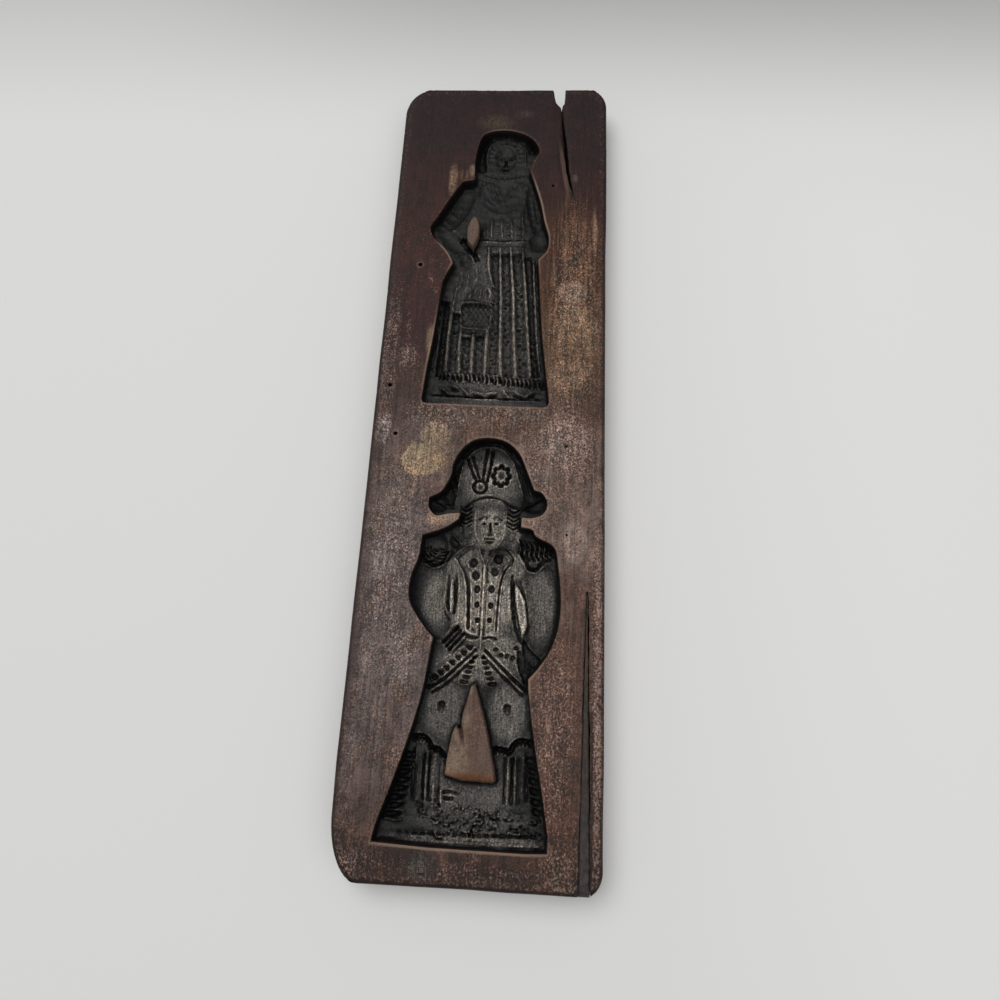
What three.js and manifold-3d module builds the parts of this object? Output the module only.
// Carved wooden cookie mould: one thick plank with a man and a woman cut into its face in reverse.
// Millimetres. X runs across the plank, Y up the plank towards the woman's head and Z up out of the
// carved face. The origin is the middle of the flat back.

import * as THREE from 'three';
import { mergeVertices } from 'three/addons/utils/BufferGeometryUtils.js';
import Module from 'manifold-3d';

const wasm = await Module();
wasm.setup();

// Plank
const boardWidth = 100;
const boardThickness = 16;
const edgeRound = 1.6;
const topLeftCorner = { across: 14, along: 16 };
const topRightCorner = { across: 9, along: 12 };
const footRightCorner = { across: 7, along: 9 };
const footLeftCorner = { across: 12, along: 25 };

// Figures, set one above the other with plain wood between and round them
const manHeight = 160;
const womanHeight = 148;
const footMargin = 13;
const figureGap = 15;
const headMargin = 26;
const boardLength = footMargin + manHeight + figureGap + womanHeight + headMargin;

// Depths below the carved face. The ground is the level of the ridges inside a figure, and the
// forms that stand proud on the biscuit are cut deeper than it.
const groundDepth = 5.2;
const shallowDepth = 6.2;
const formDepth = 7;
const deepDepth = 8;
const featureDepth = 0.4;
const ridgeTopDepth = 2.4;
const islandTopDepth = 0.3;
const wallSlope = 1.2;
const islandSlope = 1.1;
const ridgeSlope = 0.5;
const formSlope = 1;

// Drying splits, both measured from the right edge of the plank
const openSplitLength = 65.5;
const openSplitFromEdge = { mouth: 23.4, throat: 21.4, tip: 15.7 };
const openSplitWidth = 1.8;
const notchWidth = 6.6;
const notchDepth = 10.5;
const filledSplitLength = 108.5;
const filledSplitFromEdge = { foot: 6.8, tip: 6.9 };
const filledSplitWidth = 4.5;
const filledSplitTipWidth = 1;
const fillerClearance = 0.3;
const fillerSunk = 0.6;

// Buckle of the plume
const buckleRadius = 2.5;
const buckleWidth = 1.8;

// Buttons of the coat, each next one in a row smaller and less deep than the one above it
const buttonRadius = 1.4;
const buttonTaper = 0.15;

// Nail left in the foot margin
const nailFromFoot = 5.8;
const nailFromMiddle = -15;
const nailWidth = 1.9;
const nailPointWidth = 0.9;
const nailLength = 11;
const nailClearance = 0.3;
const nailSunk = 0.2;

// Cutting: how far a cutter runs past the wood, how far above the ground a deeper form starts,
// the step along a groove, the plan size below which a hollow has few facets, how much further a
// sharp corner is drawn in, and where a wall turns between upright and floor
const overrun = 2;
const runOut = 0.4;
const grooveStep = 5;
const smallScoop = 9;
const sharpCornerReach = 1.5;
const kneeShare = 0.4;

const face = boardThickness;
const halfWidth = boardWidth / 2;
const head = boardLength / 2;
const foot = -boardLength / 2;
const manFoot = foot + footMargin;
const womanFoot = manFoot + manHeight + figureGap;

// The figures are drawn on squared paper, counted from the middle of the plank and from the
// figure's foot, so that a figure is made larger or smaller by its height.
const manSquares = 160;
const womanSquares = 148;
const manSquare = manHeight / manSquares;
const womanSquare = womanHeight / womanSquares;

function onMan(x, y) {
  return new THREE.Vector2(x * manSquare, manFoot + y * manSquare);
}

function onWoman(x, y) {
  return new THREE.Vector2(x * womanSquare, womanFoot + y * womanSquare);
}

// A closed outline from its first point and stretches of points: one point is reached by a
// straight line, several by a smooth curve through them all.
function outline(place, [[start], ...stretches]) {
  const shape = new THREE.Shape();
  const first = place(...start);
  shape.moveTo(first.x, first.y);
  for (const stretch of stretches) {
    const points = stretch.map((point) => place(...point));
    if (points.length === 1) shape.lineTo(points[0].x, points[0].y);
    else shape.splineThru(points);
  }
  return shape;
}

function toSolid(geometry) {
  geometry.deleteAttribute('normal');
  geometry.deleteAttribute('uv');
  const merged = mergeVertices(geometry, 1e-4);
  const mesh = new wasm.Mesh({
    numProp: 3,
    vertProperties: new Float32Array(merged.attributes.position.array),
    triVerts: new Uint32Array(merged.index.array),
  });
  return new wasm.Manifold(mesh);
}

function toMesh(solid, name, material) {
  const data = solid.getMesh();
  const geometry = new THREE.BufferGeometry();
  geometry.setAttribute('position', new THREE.BufferAttribute(new Float32Array(data.vertProperties), 3));
  geometry.setIndex(new THREE.BufferAttribute(new Uint32Array(data.triVerts), 1));
  geometry.computeVertexNormals();
  const mesh = new THREE.Mesh(geometry, material);
  mesh.name = name;
  return mesh;
}

// The unit vector that points into an outline at one of its points, longer at a sharp corner so
// that the sides next to it are drawn in evenly.
function inwardAt(points, i) {
  const before = points[(i + points.length - 1) % points.length];
  const after = points[(i + 1) % points.length];
  const arrive = points[i].clone().sub(before).normalize();
  const leave = after.clone().sub(points[i]).normalize();
  const inward = new THREE.Vector2(-arrive.y - leave.y, arrive.x + leave.x).normalize();
  const evenness = inward.dot(new THREE.Vector2(-arrive.y, arrive.x));
  return inward.multiplyScalar(Math.min(1 / evenness, sharpCornerReach));
}

// A solid on one outline whose sides lean: each level has a height and how far the outline is
// drawn in there.
function leaning(shape, levels) {
  const points = shape.getPoints(2);
  if (THREE.ShapeUtils.isClockWise(points)) points.reverse();
  const keyOf = (x, y) => `${Math.fround(x)} ${Math.fround(y)}`;
  const inward = new Map(points.map((point, i) => [keyOf(point.x, point.y), inwardAt(points, i)]));
  const geometry = new THREE.ExtrudeGeometry(new THREE.Shape(points), {
    depth: levels.length - 1,
    steps: levels.length - 1,
    bevelEnabled: false,
  });
  const position = geometry.attributes.position;
  for (let i = 0; i < position.count; i += 1) {
    const [x, y] = [position.getX(i), position.getY(i)];
    const [height, drawnIn] = levels[Math.round(position.getZ(i))];
    const lean = inward.get(keyOf(x, y));
    position.setXYZ(i, x + lean.x * drawnIn, y + lean.y * drawnIn, height);
  }
  return toSolid(geometry);
}

// A pocket cut down from above the face: its wall is upright to one depth, then rounds in to the
// floor at another.
function pocket(shape, upright, floor, slope) {
  const knee = floor - (floor - upright) * kneeShare;
  return leaning(shape, [
    [face - floor, slope],
    [face - knee, slope * kneeShare],
    [face - upright, 0],
    [face + overrun, 0],
  ]);
}

// A form cut deeper than the ground of its figure.
function form(shape, floor, slope = formSlope) {
  return pocket(shape, groundDepth - runOut, floor, slope);
}

// Wood left standing inside a figure, wider at its root than at its top.
function island(shape, top, slope) {
  return leaning(shape, [
    [face - deepDepth - overrun, 0],
    [face - groundDepth, 0],
    [face - top - (groundDepth - top) * kneeShare, slope * kneeShare],
    [face - top, slope],
  ]);
}

// A round-bottomed hollow, as a gouge leaves it. Its long way is turned from Y by an angle in
// degrees, anticlockwise, and small hollows have fewer facets.
function scoop(middle, halfAcross, halfAlong, floor, turn = 0) {
  const small = halfAcross * halfAlong < smallScoop;
  const geometry = new THREE.SphereGeometry(1, small ? 8 : 12, small ? 4 : 6);
  geometry.rotateX(Math.PI / 2);
  geometry.scale(halfAcross, halfAlong, floor - groundDepth + runOut);
  geometry.rotateZ(THREE.MathUtils.degToRad(turn));
  geometry.translate(middle.x, middle.y, face - groundDepth + runOut);
  return toSolid(geometry);
}

// A round groove drawn along a smooth line of points.
function groove(place, points, width, floor) {
  const radius = width / 2;
  const level = face - floor + radius;
  const spots = points.map((point) => place(...point));
  const path = new THREE.CatmullRomCurve3(spots.map((spot) => new THREE.Vector3(spot.x, spot.y, level)));
  const section = new THREE.Shape().absarc(0, 0, radius, 0, 2 * Math.PI);
  const steps = Math.ceil(path.getLength() / grooveStep);
  return toSolid(new THREE.ExtrudeGeometry(section, { steps, extrudePath: path, curveSegments: 4 }));
}

function joined(solids) {
  return solids.reduce((whole, solid) => whole.add(solid));
}

// Evenly spaced places between two points of a drawing, both ends included.
function spread(place, from, to, count) {
  return Array.from({ length: count }, (_, i) => {
    const share = i / (count - 1);
    return place(from[0] + (to[0] - from[0]) * share, from[1] + (to[1] - from[1]) * share);
  });
}

// The plank before it is carved, with worn round edges and a different wear at each corner.
function plankBlank() {
  const shape = new THREE.Shape();
  const [tl, tr, fr, fl] = [topLeftCorner, topRightCorner, footRightCorner, footLeftCorner];
  const quarter = Math.PI / 2;
  shape.moveTo(-halfWidth, foot + fl.along);
  shape.absellipse(-halfWidth + fl.across, foot + fl.along, fl.across, fl.along, 2 * quarter, 3 * quarter);
  shape.absellipse(halfWidth - fr.across, foot + fr.along, fr.across, fr.along, 3 * quarter, 4 * quarter);
  shape.absellipse(halfWidth - tr.across, head - tr.along, tr.across, tr.along, 0, quarter);
  shape.absellipse(-halfWidth + tl.across, head - tl.along, tl.across, tl.along, quarter, 2 * quarter);
  const geometry = new THREE.ExtrudeGeometry(shape, {
    depth: boardThickness - 2 * edgeRound,
    bevelThickness: edgeRound,
    bevelSize: edgeRound,
    bevelOffset: -edgeRound,
    bevelSegments: 3,
    curveSegments: 5,
  });
  geometry.translate(0, 0, edgeRound);
  return toSolid(geometry);
}

// A prism standing right through the plank, from a plan outline.
function through(shape, top = boardThickness + overrun) {
  const depth = top + overrun;
  const geometry = new THREE.ExtrudeGeometry(shape, { depth, bevelEnabled: false, curveSegments: 3 });
  geometry.translate(0, 0, -overrun);
  return toSolid(geometry);
}

// The split at the head end: a narrow crack that leans towards the edge, opened by wear into a
// notch where it leaves the plank.
function openSplit() {
  const { mouth, throat, tip } = openSplitFromEdge;
  const mouthX = halfWidth - mouth;
  const throatX = halfWidth - throat;
  const tipX = halfWidth - tip;
  const throatY = head - notchDepth;
  const tipY = head - openSplitLength;
  const bowX = (throatX + tipX) / 2 - openSplitWidth / 2;
  const bowY = (throatY + tipY) / 2;
  const half = openSplitWidth / 2;
  const shape = new THREE.Shape();
  shape.moveTo(mouthX - notchWidth / 2, head + overrun);
  shape.quadraticCurveTo(mouthX - notchWidth / 2, throatY, throatX - half, throatY);
  shape.quadraticCurveTo(bowX - half, bowY, tipX, tipY);
  shape.quadraticCurveTo(bowX + half, bowY, throatX + half, throatY);
  shape.quadraticCurveTo(mouthX + notchWidth / 2, throatY, mouthX + notchWidth / 2, head + overrun);
  return through(shape);
}

// The plan of the filled split, drawn in from its sides by a clearance.
function filledSplitPlan(clearance) {
  const footX = halfWidth - filledSplitFromEdge.foot;
  const tipX = halfWidth - filledSplitFromEdge.tip;
  const halfFoot = filledSplitWidth / 2 - clearance;
  const halfTip = filledSplitTipWidth / 2 - clearance;
  const tipY = foot + filledSplitLength - clearance;
  return new THREE.Shape([
    new THREE.Vector2(footX - halfFoot, foot - overrun),
    new THREE.Vector2(footX + halfFoot, foot - overrun),
    new THREE.Vector2(tipX + halfTip, tipY),
    new THREE.Vector2(tipX - halfTip, tipY),
  ]);
}

// The square nail shank, or its hole with a clearance all round.
function nailShank(clearance) {
  const across = (width) => (width / 2 + clearance) * Math.SQRT2;
  const length = nailLength + clearance;
  const geometry = new THREE.CylinderGeometry(across(nailWidth), across(nailPointWidth), length, 4);
  geometry.rotateX(Math.PI / 2);
  geometry.rotateZ(Math.PI / 4);
  geometry.translate(nailFromMiddle, foot + nailFromFoot, face - nailSunk - length / 2);
  return toSolid(geometry);
}

function nailHole() {
  const across = nailWidth + 2 * nailClearance;
  const mouth = new THREE.BoxGeometry(across, across, nailSunk + overrun);
  mouth.translate(nailFromMiddle, foot + nailFromFoot, face + overrun / 2 - nailSunk / 2 - nailClearance);
  return nailShank(nailClearance).add(toSolid(mouth));
}

const manOutline = outline(onMan, [
  // wedge of wood between the hat and the left shoulder, then the left wing of the hat
  [[-9.3, 126.6]],
  [[-14.5, 126], [-19.4, 125.2], [-22.6, 128.6], [-22.8, 132.9]],
  // crown
  [[-17.8, 136], [-14.4, 142.8], [-13.6, 148.8], [-10, 155.4], [-4.8, 159.4], [2.2, 160.2], [9, 158.2],
    [14.2, 153.2], [17.8, 144.9], [20.8, 137.4]],
  // right wing and neck
  [[24.2, 136.2], [26.4, 131.6], [24.6, 127], [20, 125.2], [16.1, 125.4]],
  [[16, 121.4]],
  // right shoulder and sleeve
  [[20.6, 120.4], [22.4, 117.5], [29.5, 113.5], [31.5, 105], [32.8, 92], [32, 81], [29, 72], [24.5, 65]],
  [[21, 61]],
  // right leg
  [[21.5, 54], [24.5, 35.5], [27.5, 20], [29.9, 6]],
  [[29.8, 0.4]],
  [[22, 0]],
  [[-13, 0.3]],
  [[-34.3, 1.2]],
  // left leg and coat tail
  [[-33, 7.5], [-28.5, 21.5], [-25.3, 32], [-22, 44], [-19.5, 55.5], [-18, 68], [-17, 75.5]],
  // left sleeve and shoulder
  [[-22, 81], [-27.5, 89.5], [-27.9, 98.5], [-25.3, 107.5], [-24.4, 116.8]],
  [[-15, 120.4], [-10, 124]],
]);

const legGap = outline(onMan, [
  [[0.9, 60]],
  [[5.6, 46], [10, 29], [10.7, 23.4]],
  [[9.8, 22.4]],
  [[-3, 22.6]],
  [[-9.8, 24.6]],
  [[-9.2, 31.5], [-7.8, 40], [-6.2, 44]],
  [[-4.6, 42.6]],
  [[-4.1, 48], [-1.6, 58]],
]);

const leftArmGap = outline(onMan, [
  [[-11.3, 102]],
  [[-12.1, 95], [-11.6, 85.5]],
  [[-9.9, 87], [-10.1, 96]],
]);

const rightArmGap = outline(onMan, [
  [[13.8, 101]],
  [[14.7, 90], [17.8, 76]],
  [[20, 81.6], [18.8, 92]],
]);

// A plain face with its parts where a drawing book puts them: eyes half way down the head, the end
// of the nose half way from there to the chin, and the mouth a third of the rest below the nose.
function plainFace(place, middle, halfAcross, halfAlong) {
  const [x, y] = middle;
  const noseEnd = y - halfAlong / 2;
  const mouth = noseEnd - halfAlong / 6;
  const eyes = halfAcross * 0.42;
  return [
    scoop(place(x, y), halfAcross, halfAlong, formDepth),
    scoop(place(x - eyes, y), halfAcross * 0.2, halfAlong * 0.08, formDepth + featureDepth),
    scoop(place(x + eyes, y), halfAcross * 0.2, halfAlong * 0.08, formDepth + featureDepth),
    scoop(place(x, (y + noseEnd) / 2), halfAcross * 0.17, halfAlong * 0.3, deepDepth),
    scoop(place(x, mouth), halfAcross * 0.32, halfAlong * 0.07, formDepth + featureDepth),
  ];
}

// The man's cocked hat with its turned band, two stalks of a plume, buckle and cockade, and the
// curls of hair on both sides of the face.
function manHead() {
  const crownFront = outline(onMan, [
    [[-9.4, 134.6]],
    [[-8.4, 149.2], [-3.5, 154], [1.5, 155], [7.5, 153], [12.2, 145.2], [15.4, 134.4]],
    [[11.4, 133.4], [2, 136.4], [-7.2, 132.4]],
  ]);
  const buckle = onMan(-2.3, 139.6);
  const ring = new THREE.TorusGeometry(buckleRadius * manSquare, buckleWidth / 2, 5, 12);
  ring.translate(buckle.x, buckle.y, face - shallowDepth);
  const cockade = Array.from({ length: 6 }, (_, i) => {
    const angle = i * Math.PI / 3;
    const petal = onMan(6.1 + 2.5 * Math.cos(angle), 144.6 + 2.9 * Math.sin(angle));
    return scoop(petal, 1.4, 1.5, formDepth);
  });
  const leftCurls = spread(onMan, [-6.4, 129], [-6.4, 117], 6);
  const rightCurls = spread(onMan, [12.9, 129], [12.9, 117], 6);
  const band = [[-12.6, 131.4], [-11.4, 148], [-6.5, 155.4], [1.8, 157.8], [10.2, 155], [14.8, 146.6],
    [18.6, 134]];
  return [
    form(crownFront, shallowDepth),
    groove(onMan, band, 2.6, formDepth),
    groove(onMan, [[-6.6, 151], [-4.2, 142.6]], 1.7, formDepth),
    groove(onMan, [[1.5, 154.2], [-0.2, 142.8]], 1.7, formDepth),
    toSolid(ring),
    ...cockade,
    scoop(onMan(-18.2, 130), 3.4, 3.6, formDepth),
    scoop(onMan(21.4, 131), 3.6, 4, formDepth),
    ...leftCurls.map((curl) => scoop(curl, 2.7, 1.1, shallowDepth, -12)),
    ...rightCurls.map((curl) => scoop(curl, 2.7, 1.1, shallowDepth, 12)),
    ...plainFace(onMan, [3.3, 122.8], 5.3, 9.4),
  ];
}

// Coat with turned-back lapels and two rows of buttons, full sleeves with shoulder fringes, one
// cuff, and the tails with their notched edge.
function manCoat() {
  const leftLapel = outline(onMan, [
    [[-2.8, 114]],
    [[-10.4, 107.8]],
    [[-9.6, 105.4], [-6.4, 101], [-4.9, 93], [-4.7, 81], [-3, 77.4]],
    [[0.6, 76.6]],
    [[0.9, 102]],
  ]);
  const rightLapel = outline(onMan, [
    [[7.6, 113.6]],
    [[14.2, 108.4]],
    [[13, 106], [10.2, 102.4], [8.6, 96], [7.6, 88], [7, 79]],
    [[3.4, 77.6]],
    [[2.6, 102]],
  ]);
  const leftSide = outline(onMan, [[[-9, 100]], [[-6.2, 98]], [[-5.9, 84]], [[-8.8, 85.6]]]);
  const rightSide = outline(onMan, [[[10.2, 100]], [[13, 100]], [[13.4, 88], [16, 76.5]], [[8.4, 79]]]);
  const cuff = outline(onMan, [[[-14.6, 75]], [[-8.2, 82.2]], [[-4.3, 76.7]], [[-10.7, 70.8]]]);
  const pocketFlap = outline(onMan, [[[13.8, 73.6]], [[23.2, 68.6]], [[18.9, 61]], [[13.6, 69]]]);
  const leftTail = outline(onMan, [[[-16.4, 74]], [[-12, 70]], [[-1.6, 73.4]], [[-17.2, 60]]]);
  const rightTail = outline(onMan, [[[4.6, 72.4]], [[12.4, 73]], [[13.2, 68]], [[18.4, 60.6]]]);
  const leftButtons = [[-3.2, 107], [-2, 102], [-0.8, 96.1], [-0.5, 89.8], [-0.2, 83.7]];
  const rightButtons = [[7, 108.9], [5.7, 103.3], [4.7, 96.6], [4.8, 90], [4.8, 84.4]];
  const buttons = [leftButtons, rightButtons].flatMap((row) => row.map((spot, i) => {
    const radius = buttonRadius - buttonTaper * i;
    return scoop(onMan(...spot), radius, radius * 1.15, deepDepth - buttonTaper * i);
  }));
  const notches = spread(onMan, [-2.9, 72], [-16.4, 60.8], 7);
  return [
    form(leftLapel, shallowDepth),
    form(rightLapel, shallowDepth),
    form(leftSide, shallowDepth, 0.8),
    form(rightSide, shallowDepth, 0.8),
    ...buttons,
    scoop(onMan(-19.4, 111.2), 4.6, 5.6, formDepth, 20),
    scoop(onMan(22.2, 110.6), 6.6, 5.2, formDepth, -20),
    scoop(onMan(-10.2, 115), 2.2, 3, formDepth, 35),
    scoop(onMan(-20, 99), 5.8, 12, deepDepth, -3),
    scoop(onMan(-17.8, 87), 5, 10, deepDepth, 26),
    scoop(onMan(25.4, 96), 5, 13, deepDepth, 12),
    scoop(onMan(25.8, 80), 4.6, 12, deepDepth, -5),
    form(cuff, formDepth, 0.8),
    form(pocketFlap, formDepth, 0.8),
    form(leftTail, shallowDepth, 0.8),
    form(rightTail, shallowDepth, 0.8),
    ...notches.map((notch) => scoop(notch, 0.9, 1.3, formDepth, 50)),
  ];
}

// Breeches with a leaf at the top of each thigh and a dimple at the knee, grooved boots, the leaves
// beside them, and the tufted ground on its rolled base.
function manLegs() {
  const leftThigh = outline(onMan, [
    [[-0.8, 67.6]],
    [[-18, 55]],
    [[-20.4, 39.6]],
    [[-15.5, 38.6], [-9.6, 34]],
    [[-6.6, 43], [-3.6, 50], [-1.6, 58]],
  ]);
  const rightThigh = outline(onMan, [
    [[3.2, 67.6]],
    [[20, 54]],
    [[22.4, 39.6]],
    [[16, 38.6], [10.8, 36]],
    [[7.6, 46], [4.4, 57]],
  ]);
  const bootFlutes = [[-20, -17.3], [-16.5, -14.3], [-13.5, -10.3], [11, 13.8], [14.6, 16.7], [17.5, 20.3]];
  const boots = bootFlutes.map(([left, right]) => {
    const flute = outline(onMan, [[[left, 34]], [[right, 33]], [[right, 13]], [[left, 13]]]);
    return form(flute, shallowDepth, 0.7);
  });
  const leaves = [
    ...spread(onMan, [-23.2, 28.6], [-26.6, 8.6], 6).map((leaf) => scoop(leaf, 3.6, 1.4, formDepth, 12)),
    ...spread(onMan, [23, 28.6], [25.2, 8.6], 6).map((leaf) => scoop(leaf, 2.5, 1.4, formDepth, -12)),
  ];
  return [
    form(leftThigh, shallowDepth),
    form(rightThigh, shallowDepth),
    scoop(onMan(-12, 50), 6.8, 14, formDepth, -6),
    scoop(onMan(13.4, 50), 6.8, 14, formDepth, 6),
    scoop(onMan(-12.8, 48.4), 1.3, 2, deepDepth),
    scoop(onMan(13.6, 48.9), 1.3, 2, deepDepth),
    ...spread(onMan, [-1, 66.4], [-4.2, 58.4], 4).map((leaf) => scoop(leaf, 1.4, 1, deepDepth)),
    ...spread(onMan, [3.8, 66.4], [7.2, 58.4], 4).map((leaf) => scoop(leaf, 1.4, 1, deepDepth)),
    ...boots,
    ...leaves,
    ...spread(onMan, [-7, 16], [7.4, 16], 4).map((tuft) => scoop(tuft, 1.9, 3, shallowDepth)),
    ...spread(onMan, [-16.5, 9], [19, 9], 7).map((tuft) => scoop(tuft, 2.5, 2.6, shallowDepth)),
    groove(onMan, [[-31.4, 3.2], [-2, 2.8], [28, 2.8]], 2.6, formDepth),
  ];
}

const womanOutline = outline(onWoman, [
  // hood
  [[-12.8, 119.4]],
  [[-13.4, 129], [-11.8, 140.6], [-8.8, 146], [-0.4, 148.1], [8.4, 146.4], [14.6, 142.2], [17.6, 136.1],
    [15.4, 130.6], [13.4, 124.4]],
  // right sleeve down to the waist
  [[15.7, 117.2], [19, 106.1], [21.2, 95], [23.4, 86.4], [22.9, 79.4], [18.9, 74]],
  // skirt
  [[19.9, 61.5], [21.9, 35], [25.8, 2.6]],
  [[25, 0.6], [22.8, -0.2]],
  [[-18.4, 0.6]],
  [[-27.8, 0.8], [-29.7, 2.6]],
  [[-28.4, 19.1], [-26.3, 39.1], [-24.8, 59.1], [-23.9, 63.8], [-20.5, 71.8]],
  // left forearm, elbow and sleeve
  [[-22.3, 76], [-26, 81.1], [-30.4, 85.6], [-32.3, 91.4], [-29.4, 97.2], [-22.7, 110.6], [-18.4, 117.6]],
  [[-13.6, 118.4]],
]);

const elbowGap = outline(onWoman, [
  [[-11.4, 99.4]],
  [[-8.8, 94], [-9, 86], [-11.6, 79.6]],
  [[-15, 84], [-15.6, 91], [-14, 96.4]],
]);

// Hood with its frill, face, bodice with laced pleats, and the sleeves and hand.
function womanTop() {
  const frill = [[-7.6, 123], [-10.2, 132], [-6.4, 141], [1.8, 144.6], [10, 140.6], [13.2, 132], [10, 123]];
  const bodicePleats = [[-8, -3.6], [-2.6, 0.6], [1.7, 5.6], [6.7, 10.4]].map(([left, right]) => {
    const pleat = outline(onWoman, [[[left, 101]], [[right, 101]], [[right, 88.6]], [[left, 88.6]]]);
    return form(pleat, shallowDepth, 0.7);
  });
  return [
    groove(onWoman, frill, 3, formDepth),
    ...plainFace(onWoman, [1.5, 130.5], 6, 9),
    scoop(onWoman(-3.6, 110), 4.6, 6.4, formDepth),
    scoop(onWoman(6, 110), 4.6, 6.4, formDepth),
    ...bodicePleats,
    scoop(onWoman(-21, 100.6), 5.2, 14.4, deepDepth, -27),
    scoop(onWoman(-20.6, 82.4), 3.6, 9, formDepth, 43),
    scoop(onWoman(-14, 74.6), 2.5, 3.4, formDepth, 30),
    scoop(onWoman(16.8, 99.6), 3.4, 15, deepDepth, 11),
    groove(onWoman, [[-7.6, 85.8], [6, 86.4], [19.4, 85.6]], 2, shallowDepth),
  ];
}

// Each pleat of the skirt is a flute with its left and right edge given at some heights.
const skirtPleats = [
  [[60, -22.8, -19.8], [38, -24, -20.3], [19.4, -26, -21.5]],
  [[46, -18.6, -15.6], [38, -18.9, -15.3], [19.4, -20.2, -15.3]],
  [[38, -14.1, -10], [19.4, -14.1, -10.2]],
  [[36, -8.8, -3.7], [19, -9, -3.7]],
  [[81, -2.9, 0.6], [58, -1.2, 1.8], [36, -0.6, 2.6], [18.6, -2.5, 3.2]],
  [[81, 1.7, 5.7], [56, 2.9, 7.7], [36, 3.7, 8.8], [17.8, 4.4, 10]],
  [[81, 6.8, 11.2], [56, 8.8, 13.3], [36, 9.9, 15.3], [17, 11.2, 16.3]],
  [[79, 12.3, 15.8], [56, 14.4, 17.8], [36, 16.4, 19.6], [16, 17.5, 21.6]],
];

// Pleated skirt with a hanging pouch, a twisted cord and a plain band at the hem.
function womanSkirt() {
  const pleats = skirtPleats.map((rows) => {
    const left = rows.map(([y, x]) => [x, y]);
    const right = rows.map(([y, , x]) => [x, y]).reverse();
    return form(outline(onWoman, [...left, ...right].map((point) => [point])), formDepth, 1.3);
  });
  const pouch = outline(onWoman, [[[-14.6, 54]], [[-2.4, 54.6]], [[-1.8, 42]], [[-14, 42]]]);
  const pouchFlap = outline(onWoman, [[[-14, 56.4]], [[-12, 61], [-8.4, 63.4], [-4, 61.4], [-1.8, 57]]]);
  const cordTwists = spread(onWoman, [-21.6, 15.6], [22, 13.2], 24);
  const hemBand = outline(onWoman, [[[-26.4, 6.6]], [[-25, 11.8]], [[23, 9.8]], [[23.2, 5.8]]]);
  return [
    ...pleats,
    form(pouch, shallowDepth),
    form(pouchFlap, formDepth),
    form(hemBand, shallowDepth),
    ...cordTwists.map((twist) => scoop(twist, 0.85, 1.9, formDepth, 22)),
    groove(onWoman, [[-26.4, 3.6], [-2, 3.2], [23.2, 3]], 2, formDepth),
  ];
}

// One figure: its ground and everything deeper, less the wood left standing in it.
function carving(shape, forms, islands) {
  const ground = pocket(shape, 0, groundDepth, wallSlope);
  return joined([ground, ...forms]).subtract(joined(islands));
}

const man = carving(
  manOutline,
  [...manHead(), ...manCoat(), ...manLegs()],
  [
    island(legGap, islandTopDepth, islandSlope),
    island(leftArmGap, ridgeTopDepth, ridgeSlope),
    island(rightArmGap, ridgeTopDepth, ridgeSlope),
  ],
);

const woman = carving(
  womanOutline,
  [...womanTop(), ...womanSkirt()],
  [island(elbowGap, islandTopDepth, islandSlope)],
);

const blank = plankBlank();
const filledSplit = through(filledSplitPlan(0));

const board = blank
  .subtract(man)
  .subtract(woman)
  .subtract(openSplit())
  .subtract(filledSplit)
  .subtract(nailHole());

const splitFiller = blank.intersect(through(filledSplitPlan(fillerClearance), face - fillerSunk));

const oldWood = new THREE.MeshStandardMaterial({ color: 0x6f5a4e, roughness: 0.62, metalness: 0 });
const filler = new THREE.MeshStandardMaterial({ color: 0x4a4340, roughness: 0.7, metalness: 0 });
const darkIron = new THREE.MeshStandardMaterial({ color: 0x3b3d42, roughness: 0.55, metalness: 0.7 });

const mould = new THREE.Group();
mould.add(toMesh(board, 'board', oldWood));
mould.add(toMesh(splitFiller, 'split_filler', filler));
mould.add(toMesh(nailShank(0), 'iron_nail', darkIron));

export default mould;
